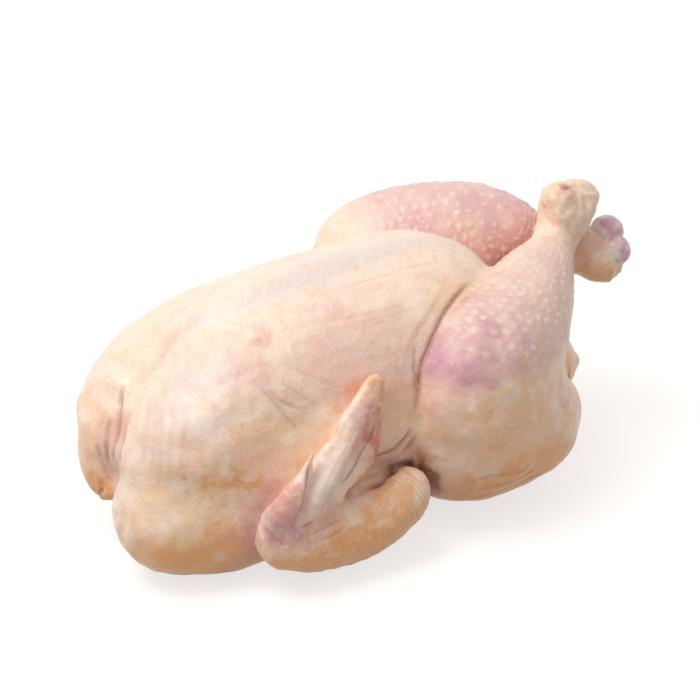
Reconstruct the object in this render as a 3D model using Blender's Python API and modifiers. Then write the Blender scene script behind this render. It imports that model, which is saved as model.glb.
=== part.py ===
"""Whole raw chicken, plucked and headless, lying on its back.

The neck end points along -X and the legs along +X; the breast is up.
The bird is one solid: bodies lofted through elliptical stations are laid into
one mesh, fused by a voxel remesh, smoothed, thinned, and cut flat underneath.
"""
import bpy
import bmesh
import numpy as np
from mathutils import Vector

# Driving dimensions
LENGTH = 0.262                  # front of the breast to the tip of the far hock, metres
DRAFT_LENGTH = 324.0            # the same length in the draft units of the stations
UNIT = LENGTH / DRAFT_LENGTH    # metres in one draft unit

FLAT = 3.0                      # depth cut off the underside, so that the bird lies flat
VOXEL = 2.6                     # remesh size that fuses the bodies
SMOOTHING = 0.5
SMOOTH_ROUNDS = 3
KEPT_FACES = 0.092            # share of the remeshed faces that the thinning keeps
AROUND = 36                     # points round each lofted section
ALONG = 10                      # sections between two stations

SKIN_COLOUR = (0.80, 0.60, 0.46, 1.0)
SKIN_ROUGHNESS = 0.42

# Stations, in draft units: x, y, z of the centre, then half width, height above and below.
TORSO = [
    (-94, 0, 56, 10, 8, 10), (-88, 0, 56, 36, 22, 36), (-76, 0, 57, 55, 38, 48),
    (-60, 0, 58, 64, 54, 53), (-40, 0, 60, 67, 63, 58), (-10, 0, 63, 68, 68, 62),
    (33, 0, 66, 69, 69, 65), (72, 0, 67, 69, 68, 65), (96, 0, 64, 62, 58, 60),
    (122, 0, 56, 50, 42, 50), (148, 0, 50, 36, 28, 36), (166, 0, 46, 20, 16, 20),
    (176, 0, 46, 6, 6, 6)]
BREAST_END = [
    (10, 0, 80, 20, 20, 20), (45, 0, 86, 44, 42, 40), (84, 0, 90, 49, 44, 40),
    (100, 0, 92, 41, 36, 34), (111, 0, 92, 25, 24, 22), (116, 0, 92, 8, 8, 8)]
KEEL = [
    (-62, 0, 96, 4, 4, 4), (-44, 0, 112, 9, 11, 10), (-10, 0, 120, 11, 14, 12),
    (30, 0, 124, 11, 14, 12), (72, 0, 124, 10, 13, 12), (100, 0, 114, 8, 10, 10),
    (108, 0, 106, 4, 4, 4)]
BREAST = [
    (-101, -30, 52, 6, 8, 8), (-98, -30, 53, 18, 19, 20), (-90, -29, 55, 27, 26, 28),
    (-76, -28, 59, 35, 36, 38), (-58, -27, 63, 40, 43, 42), (-34, -24, 67, 42, 47, 40),
    (0, -20, 70, 38, 44, 38), (36, -16, 74, 20, 24, 20)]
SHOULDER = [
    (-112, -32, 38, 6, 6, 6), (-106, -33, 37, 17, 17, 17), (-94, -37, 35, 25, 25, 25),
    (-76, -44, 32, 27, 27, 27), (-50, -48, 30, 26, 26, 26), (-20, -48, 34, 22, 22, 22),
    (10, -44, 38, 10, 10, 10)]
NECK_SKIN = [
    (-70, 0, 60, 14, 14, 14), (-84, -2, 52, 13, 15, 14), (-92, -3, 42, 9, 11, 10),
    (-97, -4, 33, 5, 5, 5)]
TAIL = [
    (120, 0, 46, 30, 26, 28), (146, 0, 42, 27, 20, 22), (162, 0, 38, 20, 15, 16),
    (173, 0, 36, 13, 11, 11), (181, 0, 35, 7, 6, 6), (184, 0, 35, 2, 2, 2)]
THIGH = [
    (44, -48, 56, 14, 16, 16), (54, -52, 54, 30, 34, 32), (74, -54, 50, 38, 40, 38),
    (96, -53, 48, 37, 38, 37), (114, -50, 47, 30, 32, 30), (130, -44, 48, 16, 18, 18),
    (136, -42, 48, 6, 6, 6)]
NEAR_DRUMSTICK = [
    (56, -58, 58, 14, 14, 14), (66, -60, 68, 32, 34, 34), (82, -56, 79, 36, 39, 38),
    (102, -47, 89, 34, 36, 35), (122, -35, 99, 28, 29, 29), (140, -22, 108, 21, 21, 21),
    (154, -11, 114, 14, 14, 14), (164, -3, 120, 10.5, 10.5, 10.5), (170, 0, 128, 11, 11, 11)]
NEAR_HOCK = [
    (163, -3, 120, 10, 10, 10), (169, 0, 128, 12, 12, 12), (172, 1, 136, 16, 15, 15),
    (174, 3, 142, 18, 16, 16), (176, 5, 148, 15, 13, 13), (177, 6, 152, 6, 6, 6)]
FAR_DRUMSTICK = [
    (60, 64, 84, 14, 14, 14), (70, 65, 90, 26, 26, 26), (86, 65, 97, 33, 33, 33),
    (108, 58, 101, 35, 35, 35), (132, 46, 105, 33, 33, 33), (145, 37, 106, 29, 30, 30),
    (157, 27, 106, 23, 24, 24), (167, 19, 105, 16, 16, 16),
    (178, 10, 104, 11.5, 11.5, 11.5), (188, 4, 104, 11, 11, 11)]
FAR_HOCK = [
    (180, 9, 104, 11, 11, 11), (188, 3, 105, 12.5, 13, 13), (197, -3, 106, 16, 17, 17),
    (204, -7, 106, 15, 17, 17), (210, -11, 106, 6, 9, 9)]
UPPER_ARM = [
    (-62, -54, 40, 14, 14, 14), (-50, -62, 40, 20, 22, 22), (-15, -70, 37, 18, 19, 20),
    (14, -72, 37, 14, 16, 16), (28, -72, 38, 10, 12, 12)]
FOREARM = [
    (39, -75, 43, 5, 5, 5), (34, -77, 42, 11, 13, 13), (20, -80, 35, 14, 16, 16),
    (7, -81, 29, 15, 17.5, 17), (-13, -81, 27, 16, 18, 17.5), (-31, -81, 29, 16, 17, 17),
    (-44, -81, 36, 13, 15, 16), (-52, -81, 42, 6, 6, 6)]
ARMPIT_SKIN = [
    (-52, -54, 46, 10, 12, 12), (-30, -60, 56, 15, 18, 18), (-6, -60, 66, 14, 18, 18),
    (18, -57, 74, 8, 12, 12)]
HAND = [
    (-48, -80, 38, 8, 8, 8), (-40, -83, 44, 12, 14, 13), (-28, -84, 58, 9, 13, 13),
    (-13, -80, 74, 8, 12, 12), (4, -73, 88, 6, 10, 9), (14, -67, 96, 4.5, 6, 5.5),
    (18, -64, 99, 2.5, 3, 3)]
THUMB = [
    (-46, -80, 44, 8, 8, 8), (-46, -83, 54, 7, 8, 8), (-40, -82, 62, 5, 6, 6),
    (-34, -80, 68, 2.5, 3, 3)]


def mirrored(stations):
    """The same stations on the other side of the bird's middle plane."""
    return [(x, -y, z, *radii) for x, y, z, *radii in stations]


def resample(stations):
    """A Catmull-Rom curve through the rows of stations, ALONG rows to each gap."""
    rows = np.array(stations, float)
    rows = np.vstack([2 * rows[0] - rows[1], rows, 2 * rows[-1] - rows[-2]])
    out = []
    for before, start, end, after in zip(rows, rows[1:], rows[2:], rows[3:]):
        for t in np.arange(ALONG) / ALONG:
            out.append(0.5 * (2 * start + (end - before) * t
                              + (2 * before - 5 * start + 4 * end - after) * t * t
                              + (3 * start - before - 3 * end + after) * t ** 3))
    out.append(rows[-2])
    return np.array(out)


def loft(mesh, stations):
    """Skin elliptical sections along the stations into the mesh, closed by a fan at each end."""
    rows = resample(stations)
    centres = rows[:, :3]
    radii = np.maximum(rows[:, 3:], 0.5)
    tangents = np.gradient(centres, axis=0)
    angles = np.linspace(0, 2 * np.pi, AROUND, endpoint=False)
    rings = []
    for centre, tangent, (side, above, below) in zip(centres, tangents, radii):
        tangent = Vector(tangent).normalized()
        across = Vector((0, 0, 1)).cross(tangent).normalized()
        up = tangent.cross(across)
        ring = []
        for angle in angles:
            height = above if np.sin(angle) > 0 else below
            point = Vector(centre) + across * side * np.cos(angle) + up * height * np.sin(angle)
            ring.append(mesh.verts.new(point * UNIT))
        rings.append(ring)
    for low, high in zip(rings, rings[1:]):
        for i in range(AROUND):
            j = (i + 1) % AROUND
            mesh.faces.new((low[i], low[j], high[j], high[i]))
    mesh.faces.new(reversed(rings[0]))
    mesh.faces.new(rings[-1])


def skin_material():
    """Pale yellowish raw skin."""
    material = bpy.data.materials.new("raw_skin")
    material.use_nodes = True
    shader = material.node_tree.nodes["Principled BSDF"]
    shader.inputs["Base Color"].default_value = SKIN_COLOUR
    shader.inputs["Roughness"].default_value = SKIN_ROUGHNESS
    shader.inputs["Metallic"].default_value = 0.0
    return material


def floor_cutter(collection):
    """A slab whose top is the plane that the bird lies on."""
    bpy.ops.mesh.primitive_cube_add(size=1)
    cutter = bpy.context.object
    cutter.name = "underside_cutter"
    depth = 0.1
    size = Vector((2 * LENGTH, 2 * LENGTH, depth))
    for vertex in cutter.data.vertices:
        vertex.co = vertex.co * size + Vector((0, 0, FLAT * UNIT - depth / 2))
    cutter.hide_render = True
    cutter.display_type = "WIRE"
    for old in cutter.users_collection:
        old.objects.unlink(cutter)
    collection.objects.link(cutter)
    return cutter


def chicken_mesh():
    """All the bodies in one mesh, still passing through each other."""
    mesh = bmesh.new()
    middle = (TORSO, BREAST_END, KEEL, NECK_SKIN, TAIL)
    paired = (BREAST, SHOULDER, THIGH, UPPER_ARM, FOREARM, ARMPIT_SKIN, HAND, THUMB)
    legs = (NEAR_DRUMSTICK, NEAR_HOCK, FAR_DRUMSTICK, FAR_HOCK)
    for stations in middle + legs:
        loft(mesh, stations)
    for stations in paired:
        loft(mesh, stations)
        loft(mesh, mirrored(stations))
    bmesh.ops.recalc_face_normals(mesh, faces=mesh.faces)
    data = bpy.data.meshes.new("chicken")
    mesh.to_mesh(data)
    mesh.free()
    return data


def fuse(chicken, cutter):
    """Fuse the bodies, smooth and thin the skin, and cut the underside flat."""
    remesh = chicken.modifiers.new("fuse", "REMESH")
    remesh.mode = "VOXEL"
    remesh.voxel_size = VOXEL * UNIT
    smooth = chicken.modifiers.new("smooth", "SMOOTH")
    smooth.factor = SMOOTHING
    smooth.iterations = SMOOTH_ROUNDS
    thin = chicken.modifiers.new("thin", "DECIMATE")
    thin.ratio = KEPT_FACES
    cut = chicken.modifiers.new("flat_underside", "BOOLEAN")
    cut.operation = "DIFFERENCE"
    cut.object = cutter


def centre_over_origin(chicken):
    """Put the middle of the underside of the bird's box at the origin."""
    graph = bpy.context.evaluated_depsgraph_get()
    corners = np.array(chicken.evaluated_get(graph).bound_box)
    low, high = corners.min(axis=0), corners.max(axis=0)
    shift = Vector((-(low[0] + high[0]) / 2, -(low[1] + high[1]) / 2, -low[2]))
    chicken.location = shift
    return shift


def build():
    """Make the bird and the slab that cuts it."""
    for old in list(bpy.data.objects):
        bpy.data.objects.remove(old, do_unlink=True)
    scene = bpy.context.scene.collection
    parts = bpy.data.collections.new("whole_raw_chicken")
    cutters = bpy.data.collections.new("cutters")
    scene.children.link(parts)
    scene.children.link(cutters)

    chicken = bpy.data.objects.new("chicken", chicken_mesh())
    parts.objects.link(chicken)
    chicken.data.materials.append(skin_material())
    chicken.data.shade_smooth()
    cutter = floor_cutter(cutters)
    fuse(chicken, cutter)
    cutter.location = centre_over_origin(chicken)


build()
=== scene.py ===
"""Looks of a whole raw chicken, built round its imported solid.

The bird lies on its back, neck end towards -X, hocks towards +X. Its skin is worked
out in draft units, in which the bird is about 326 long, and placed in metres at the end.
"""

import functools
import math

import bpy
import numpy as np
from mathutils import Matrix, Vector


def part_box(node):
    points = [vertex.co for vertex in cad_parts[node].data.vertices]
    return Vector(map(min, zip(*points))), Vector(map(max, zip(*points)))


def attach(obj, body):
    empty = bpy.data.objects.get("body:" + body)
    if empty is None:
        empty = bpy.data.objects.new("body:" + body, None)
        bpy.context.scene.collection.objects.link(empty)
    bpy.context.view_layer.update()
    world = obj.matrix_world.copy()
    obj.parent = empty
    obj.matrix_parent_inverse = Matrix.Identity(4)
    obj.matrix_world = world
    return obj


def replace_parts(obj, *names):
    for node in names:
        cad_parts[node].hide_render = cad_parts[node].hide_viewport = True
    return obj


bl_info = {
    "name": "Whole Raw Chicken",
    "version": (1, 0, 0),
    "blender": (4, 5, 0),
    "location": "3D View > Sidebar > Chicken",
    "description": "Skin, hock joints, feather stubs and stage of a whole raw chicken",
    "category": "Add Mesh",
}

import openvdb
from mathutils import Vector

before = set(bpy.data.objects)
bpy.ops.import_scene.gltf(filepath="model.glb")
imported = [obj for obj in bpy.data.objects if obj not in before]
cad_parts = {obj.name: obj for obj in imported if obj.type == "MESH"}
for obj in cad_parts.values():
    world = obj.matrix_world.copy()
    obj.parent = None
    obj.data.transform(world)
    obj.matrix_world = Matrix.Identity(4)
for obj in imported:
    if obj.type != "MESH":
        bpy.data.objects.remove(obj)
NODE = "chicken"
BODY = "root"
SKIN_FINISH = "mottled_skin"

LOW, HIGH = (np.array(corner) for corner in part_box(NODE))
DRAFT_LOW = np.array([-112.9, 0.0, 3.0])     # draft place of the box's low X, its middle Y and its floor
DRAFT_LENGTH = 326.16                        # draft length of the box along X
UNIT = (HIGH[0] - LOW[0]) / DRAFT_LENGTH     # metres in one draft unit
FRAME_LOW = np.array([LOW[0], 0.5 * (LOW[1] + HIGH[1]), LOW[2]])

TRUNK_CELL = 1.36                            # draft size of the cells that the trunk is made in
AROUND = 48                                  # points round a lofted section
ALONG = 12                                   # sections between two stations
BAND = 16.0                                  # draft distance to which distances are exact
HAND_BAND = 7.0                              # the same for the small bodies of the hand
WRIST_FILLET = 2.0                           # draft width of the fillet between hand and forearm
WING_FILLET = 2.5                            # draft width of the fillet between wing and trunk
OVERLAP = 2.5                                # draft width over which two neighbours share their surface
SINK = 0.22                                  # how far the trunk lies under a limb where they share it


# ---------------------------------------------------------------------------
# Stations, in draft units: x, y, z of the centre, then half width, height above and below
# ---------------------------------------------------------------------------
TORSO = [
    (-94, 0, 56, 10, 8, 10), (-88, 0, 56, 36, 22, 36), (-76, 0, 57, 55, 38, 48),
    (-60, 0, 58, 64, 54, 53), (-40, 0, 60, 67, 63, 58), (-10, 0, 63, 68, 68, 62),
    (33, 0, 66, 69, 69, 65), (72, 0, 67, 69, 68, 65), (96, 0, 64, 62, 58, 60),
    (122, 0, 56, 50, 42, 50), (148, 0, 50, 36, 28, 36), (166, 0, 46, 20, 16, 20),
    (176, 0, 46, 6, 6, 6)]
BREAST_END = [
    (10, 0, 80, 20, 20, 20), (45, 0, 86, 44, 42, 40), (84, 0, 90, 49, 44, 40),
    (100, 0, 92, 41, 36, 34), (111, 0, 92, 25, 24, 22), (116, 0, 92, 8, 8, 8)]
KEEL = [
    (-62, 0, 96, 4, 4, 4), (-44, 0, 112, 9, 11, 10), (-10, 0, 120, 11, 14, 12),
    (30, 0, 124, 11, 14, 12), (72, 0, 124, 10, 13, 12), (100, 0, 114, 8, 10, 10),
    (108, 0, 106, 4, 4, 4)]
BREAST = [
    (-101, -30, 52, 6, 8, 8), (-98, -30, 53, 18, 19, 20), (-90, -29, 55, 27, 26, 28),
    (-76, -28, 59, 35, 36, 38), (-58, -27, 63, 40, 43, 42), (-34, -24, 67, 42, 47, 40),
    (0, -20, 70, 38, 44, 38), (36, -16, 74, 20, 24, 20)]
SHOULDER = [
    (-112, -32, 38, 6, 6, 6), (-106, -33, 37, 17, 17, 17), (-94, -37, 35, 25, 25, 25),
    (-76, -44, 32, 27, 27, 27), (-50, -48, 30, 26, 26, 26), (-20, -48, 34, 22, 22, 22),
    (10, -44, 38, 10, 10, 10)]
FAR_SHOULDER = [
    (-90, 33, 42, 6, 6, 6), (-85, 34, 39, 14, 14, 14), (-75, 38, 35, 22, 22, 22),
    (-62, 44, 32, 26, 26, 26), (-50, 48, 30, 26, 26, 26), (-20, 48, 34, 22, 22, 22),
    (10, 44, 38, 10, 10, 10)]
NECK_SKIN = [
    (-78, 16, 68, 20, 22, 22), (-92, 11, 57, 19, 20, 18), (-100, 7, 45, 14, 14, 12),
    (-103, 1, 37, 9, 9, 8), (-102, -5, 32, 4, 4, 4)]
TAIL = [
    (120, 0, 46, 30, 26, 28), (146, 0, 42, 28, 20, 22), (160, 0, 39, 20, 14, 15),
    (171, 0, 38, 12, 10, 10), (179, 0, 38, 6.5, 6, 6), (184, 0, 38, 3, 3, 3)]
THIGH = [
    (44, -48, 56, 14, 16, 16), (54, -52, 54, 30, 34, 32), (74, -54, 50, 38, 40, 38),
    (96, -53, 48, 37, 38, 37), (115, -51, 46, 33, 34, 33), (132, -44, 47, 23, 25, 24),
    (140, -36, 52, 10, 12, 12), (144, -34, 53, 4, 4, 4)]
NEAR_DRUMSTICK = [
    (56, -58, 58, 14, 14, 14), (66, -60, 68, 32, 34, 34), (82, -56, 79, 36, 39, 38),
    (102, -47, 89, 34, 36, 35), (122, -35, 99, 28, 29, 29), (140, -22, 108, 21, 21, 21),
    (154, -11, 114, 14, 14, 14), (164, -3, 120, 11, 11, 11), (170, 0, 128, 12, 12, 12)]
NEAR_HOCK = [
    (163, -3, 120, 10, 10, 10), (169, -1, 128, 13, 12, 12), (173, 1, 136, 16, 14, 14),
    (174, 3, 140, 15, 13, 13), (175, 4, 144, 12, 10, 10), (175, 5, 147, 5, 5, 5)]
FAR_DRUMSTICK = [
    (60, 64, 84, 14, 14, 14), (70, 65, 90, 26, 26, 26), (86, 65, 97, 33, 33, 33),
    (108, 58, 101, 35, 35, 35), (132, 46, 105, 33, 33, 33), (145, 37, 106, 29, 30, 30),
    (157, 27, 106, 23, 24, 24), (167, 19, 105, 16, 16, 16),
    (178, 10, 104, 11.5, 11.5, 11.5), (188, 4, 104, 11, 11, 11)]
FAR_HOCK = [
    (180, 9, 104, 11, 11, 11), (188, 3, 104, 13, 13, 13), (195, -2, 102, 14, 14, 16),
    (202, -6, 101, 13, 12, 15), (206, -9, 100, 6, 7, 8)]
# knobs of the near hock and lobes of the far one's gristle: centre and half axes
NEAR_CONDYLES = [((165, -3, 143.5), (8.5, 9, 8)), ((182, 4, 138), (10, 10, 9)),
                 ((167, -8, 136), (8, 6, 7))]
FAR_GRISTLE = [((200, 1, 114), (9.5, 9.5, 9)), ((199.5, -9, 106), (9, 8, 9))]
# stations again, of the near wing
UPPER_ARM = [
    (-58, -50, 34, 10, 10, 10), (-48, -56, 34, 16, 16, 18), (-15, -68, 34, 16, 16, 18),
    (14, -71, 34, 14, 13, 16), (28, -71, 35, 10, 10, 12)]
FOREARM = [
    (38, -76, 40, 5, 5, 5), (33, -78, 39, 11, 12, 13), (20, -81, 33, 14, 15, 16),
    (7, -81, 28, 15, 17, 17), (-13, -81, 27, 16, 18, 17.5), (-31, -81, 29, 16, 17, 17),
    (-44, -81, 36, 13, 15, 16), (-52, -81, 42, 6, 6, 6)]
ARMPIT_SKIN = [
    (-52, -54, 46, 10, 12, 12), (-30, -60, 56, 15, 18, 18), (-6, -60, 66, 14, 18, 18),
    (18, -57, 74, 8, 12, 12)]
HAND = [
    (-48, -80, 38, 8, 8, 8), (-39, -82, 44, 9, 10, 13), (-27, -83, 57, 7, 8.5, 13),
    (-12, -80, 73, 5.5, 9, 12), (4, -73, 88, 5, 8.5, 10), (14, -68, 97, 4, 6.5, 6),
    (19, -66, 101, 2, 2.5, 2.5)]
HAND_BONE = [
    (-42, -88, 40, 5, 5, 5), (-30, -90, 54, 4.5, 4.5, 4.5), (-15, -87, 71, 4, 4, 4),
    (-2, -80, 84, 3.5, 3.5, 3.5), (10, -73, 94, 2.5, 2.5, 2.5)]
HAND_SKIN = [
    (-24, -84, 44, 4, 5, 5), (-13, -83, 52, 4, 8, 6), (-2, -80, 59, 3.5, 11, 7.5),
    (7, -76, 66, 3.2, 12, 7.5), (14, -72, 77, 3, 11, 6.5), (17, -69, 89, 3, 9, 5),
    (19, -67, 99, 2, 3, 3)]
THUMB = [
    (-47, -82, 43, 8, 8, 8), (-44, -87, 52, 7, 7, 7), (-39, -88, 61, 5.5, 5.5, 5.5),
    (-33, -87, 69, 3.6, 3.8, 3.8), (-30, -86, 75, 1.8, 2.0, 2.0), (-28, -85, 79, 0.8, 0.9, 0.9)]


def mirrored(stations):
    """The same stations on the other side of the bird's middle plane."""
    rows = np.array(stations, float)
    rows[:, 1] *= -1
    return rows


def on_side(stations, near):
    """The stations of the near side, at -Y, or the same on the far side."""
    return np.array(stations, float) if near else mirrored(stations)


# ---------------------------------------------------------------------------
# Shapes worked out with numpy
# ---------------------------------------------------------------------------
def catmull(rows, count):
    """Catmull-Rom curve: between two rows, the cubic whose slope at each row is half
    the difference of that row's neighbours; count samples over all the rows."""
    rows = np.asarray(rows, float)
    ends = np.vstack([2 * rows[0] - rows[1], rows, 2 * rows[-1] - rows[-2]])
    place = np.linspace(0, len(rows) - 1, count)
    i = np.minimum(place.astype(int), len(rows) - 2)
    t = (place - i)[:, None]
    a, b, c, d = ends[i], ends[i + 1], ends[i + 2], ends[i + 3]
    return 0.5 * (2 * b + (c - a) * t + (2 * a - 5 * b + 4 * c - d) * t ** 2
                  + (3 * b - a - 3 * c + d) * t ** 3)


def unit_rows(vectors):
    """Each row over its own length."""
    return vectors / np.maximum(np.linalg.norm(vectors, axis=-1, keepdims=True), 1e-9)


def loft(stations):
    """An ellipse carried along the stations' curve: centre + across * half width * cos(angle)
    + up * height * sin(angle), the height being the one above or the one below."""
    rows = catmull(stations, ALONG * (len(stations) - 1) + 1)
    centre, radii = rows[:, :3], np.maximum(rows[:, 3:], 0.3)
    tangent = unit_rows(np.gradient(centre, axis=0))
    across = unit_rows(np.cross([0.0, 0.0, 1.0], tangent))
    up = np.cross(tangent, across)
    angle = np.linspace(0, 2 * math.pi, AROUND, endpoint=False)
    height = np.where(np.sin(angle)[None] > 0, radii[:, 1:2], radii[:, 2:3])
    return (centre[:, None] + across[:, None] * (radii[:, :1] * np.cos(angle))[..., None]
            + up[:, None] * (height * np.sin(angle))[..., None])


def closed_tube(grid):
    """Points, end triangles and side quads of a grid of rings, each end closed by a fan."""
    rings, around = grid.shape[:2]
    points = np.vstack([grid.reshape(-1, 3), grid[0].mean(0), grid[-1].mean(0)])
    i, j = np.meshgrid(np.arange(rings - 1), np.arange(around), indexing="ij")
    k = (j + 1) % around
    quads = np.stack([i * around + j, i * around + k, (i + 1) * around + k,
                      (i + 1) * around + j], -1).reshape(-1, 4)
    j = np.arange(around)
    k = (j + 1) % around
    first = np.stack([np.full(around, rings * around), k, j], -1)
    last = np.stack([np.full(around, rings * around + 1), (rings - 1) * around + j,
                     (rings - 1) * around + k], -1)
    return points, np.vstack([first, last]), quads


class Room:
    """A box of cubic cells in which distances to the skin are worked out."""

    def __init__(self, low, high, cell):
        self.cell = cell
        self.low = np.floor(np.array(low) / cell).astype(int)
        self.shape = tuple(int(n) for n in np.ceil(np.array(high) / cell).astype(int) - self.low)
        self.axes = [((np.arange(n) + start) * cell).astype(np.float32)
                     for n, start in zip(self.shape, self.low)]

    def distance(self, stations, band=BAND):
        """Signed distance from each cell to the loft of the stations, negative inside."""
        points, triangles, quads = closed_tube(loft(stations))
        grid = openvdb.FloatGrid.createLevelSetFromPolygons(
            points=points.astype(np.float32), triangles=triangles.astype(np.uint32),
            quads=quads.astype(np.uint32), halfWidth=math.ceil(band / self.cell),
            transform=openvdb.createLinearTransform(voxelSize=self.cell))
        out = np.empty(self.shape, np.float32)
        grid.copyToArray(out, ijk=tuple(int(n) for n in self.low))
        return out

    def ball(self, centre, radii):
        """Rough distance to an ellipsoid: (its scaled radius - 1) * its least half axis."""
        parts = [((axis - c) / r) ** 2 for axis, c, r in zip(self.axes, centre, radii)]
        away = np.sqrt(parts[0][:, None, None] + parts[1][None, :, None] + parts[2][None, None, :])
        return ((away - 1) * min(radii)).astype(np.float32)

    def borrow(self, other, field):
        """Another room's field at this room's cells: Catmull-Rom weights along each axis."""
        for axis in range(3):
            at = (self.axes[axis] - other.axes[axis][0]) / other.cell
            start = np.clip(np.floor(at).astype(int), 1, field.shape[axis] - 3)
            t = np.clip(at - start, 0, 1)
            weights = (-0.5 * t + t ** 2 - 0.5 * t ** 3, 1 - 2.5 * t ** 2 + 1.5 * t ** 3,
                       0.5 * t + 2 * t ** 2 - 1.5 * t ** 3, -0.5 * t ** 2 + 0.5 * t ** 3)
            shape = [1, 1, 1]
            shape[axis] = -1
            field = sum(np.take(field, start + k - 1, axis=axis)
                        * weight.astype(np.float32).reshape(shape)
                        for k, weight in enumerate(weights))
        return field

    def surface(self, distance):
        """Points and quads where the distance is zero."""
        grid = openvdb.FloatGrid(float(BAND))
        grid.copyFromArray(np.ascontiguousarray(distance, np.float32),
                           ijk=tuple(int(n) for n in self.low))
        grid.transform = openvdb.createLinearTransform(voxelSize=self.cell)
        points, quads = grid.convertToQuads(isovalue=0.0)
        return points.astype(float), quads.astype(np.int64)


def soft_union(a, b, width):
    """The lesser of two distances, with a fillet where they differ by less than the width."""
    gap = np.maximum(width - np.abs(a - b), 0) / width
    return np.minimum(a, b) - gap * gap * width * 0.25


def smooth_step(value, low, high):
    """0 below low, 1 above high, and a smooth S between."""
    t = np.clip((value - low) / (high - low), 0, 1)
    return t * t * (3 - 2 * t)


# ---------------------------------------------------------------------------
# Distances of the bird's groups of bodies
# ---------------------------------------------------------------------------
def united(room, widths_and_stations):
    """Soft union of lofts, each (fillet width, stations)."""
    out = None
    for width, stations in widths_and_stations:
        one = room.distance(stations)
        out = one if out is None else soft_union(out, one, width)
    return out


def trunk_distance(room):
    """Breast, back, shoulders, neck skin and tail."""
    breasts = united(room, [(0, BREAST), (5, mirrored(BREAST))])
    body = united(room, [(0, TORSO), (9, BREAST_END), (9, KEEL)])
    body = soft_union(body, breasts, 12)
    for width, stations in ((12, SHOULDER), (12, FAR_SHOULDER), (10, ARMPIT_SKIN),
                            (10, mirrored(ARMPIT_SKIN)), (13, NECK_SKIN), (12, TAIL)):
        body = soft_union(body, room.distance(stations), width)
    return body


def leg_distance(room, near):
    """Thigh, drumstick and hock of one leg."""
    shin = united(room, [(0, NEAR_DRUMSTICK if near else FAR_DRUMSTICK),
                         (8, NEAR_HOCK if near else FAR_HOCK)])
    for centre, radii in NEAR_CONDYLES if near else ():
        shin = soft_union(shin, room.ball(centre, radii), 4)
    return soft_union(shin, room.distance(on_side(THIGH, near)), 14)


def arm_distance(room, near):
    """Upper arm and forearm of one wing."""
    return united(room, [(0, on_side(UPPER_ARM, near)), (5, on_side(FOREARM, near))])


def hand_distance(room, near):
    """Hand and thumb of one wing."""
    out = room.distance(on_side(HAND, near), HAND_BAND)
    for width, stations in ((4, HAND_SKIN), (4, HAND_BONE), (3, THUMB)):
        out = soft_union(out, room.distance(on_side(stations, near), HAND_BAND), width)
    return out


@functools.lru_cache(maxsize=None)
def whole_room():
    """The room of the whole bird, in which the trunk is made."""
    return Room((-128, -112, -2), (222, 112, 164), TRUNK_CELL)


@functools.lru_cache(maxsize=None)
def shared(group, near=True):
    """Distance to a group of bodies in the whole room, worked out once."""
    if group == "trunk":
        return trunk_distance(whole_room())
    if group == "leg":
        return leg_distance(whole_room(), near)
    return arm_distance(whole_room(), near)


def leg_fillet(room):
    """Width of the fillet between leg and trunk: a tight fold in front, slack skin below and behind."""
    x, z = room.axes[0][:, None, None], room.axes[2][None, None, :]
    return 3.0 + 9.0 * smooth_step(50 - z, 0, 30) + 6.0 * smooth_step(x, 108, 140)


def flattened(room, distance):
    """The distance with everything below the floor taken away, over a rounded edge."""
    floor = (DRAFT_LOW[2] - room.axes[2])[None, None, :]
    return -soft_union(-distance, np.broadcast_to(-floor, distance.shape), 4)


def limb_piece(room, limb, fillet):
    """The limb's share of the bird: its own surface, and the fillet up to the trunk."""
    trunk = room.borrow(whole_room(), shared("trunk"))
    whole = flattened(room, soft_union(trunk, limb, fillet)) + SINK * smooth_step(limb - trunk, 0, 1.5)
    return room.surface(np.maximum(whole, limb - trunk - OVERLAP))


def trunk_piece():
    """The trunk's share of the bird, sunk a little where a limb covers it."""
    room, trunk = whole_room(), shared("trunk")
    whole, limbs = trunk, np.full(room.shape, BAND, np.float32)
    for near in (True, False):
        arm = soft_union(shared("arm", near), hand_distance(room, near), WRIST_FILLET)
        for limb, fillet in ((shared("leg", near), leg_fillet(room)), (arm, WING_FILLET)):
            whole = np.minimum(whole, soft_union(trunk, limb, fillet))
            limbs = np.minimum(limbs, limb)
    whole = flattened(room, whole) + SINK * smooth_step(trunk - limbs, 0, 1.5)
    return room.surface(np.maximum(whole, trunk - limbs - OVERLAP))


# ---------------------------------------------------------------------------
# Noise
# ---------------------------------------------------------------------------
def scatter(i, j, k, seed):
    """A repeatable number from 0 to 1 for each whole place: multiply, mix the bits, keep 24."""
    h = (i.astype(np.int64) * 73856093) ^ (j.astype(np.int64) * 19349663)
    h = (h ^ (k.astype(np.int64) * 83492791) ^ (seed * 2654435761)) & 0xFFFFFFFF
    h = ((h ^ (h >> 15)) * 2246822519) & 0xFFFFFFFF
    h = ((h ^ (h >> 13)) * 3266489917) & 0xFFFFFFFF
    return ((h ^ (h >> 16)) & 0xFFFFFF) / float(0xFFFFFF)


def noise(points, size, seed=0, octaves=1):
    """Value noise from -1 to 1: numbers at the corners of cubes of the given size, joined by
    smooth steps; each further octave is half the size and half the strength."""
    total, weight, strength = 0.0, 0.0, 1.0
    for octave in range(octaves):
        place = points / (size / 2 ** octave)
        cell = np.floor(place).astype(np.int64)
        t = place - cell
        t = t * t * (3 - 2 * t)
        value = 0.0
        for corner in range(8):
            step = np.array([corner & 1, corner >> 1 & 1, corner >> 2 & 1])
            share = np.prod(np.where(step, t, 1 - t), axis=1)
            at = cell + step
            value = value + share * scatter(at[:, 0], at[:, 1], at[:, 2], seed + 17 * octave)
        total = total + strength * (2 * value - 1)
        weight += strength
        strength *= 0.5
    return total / weight * 1.6


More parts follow.
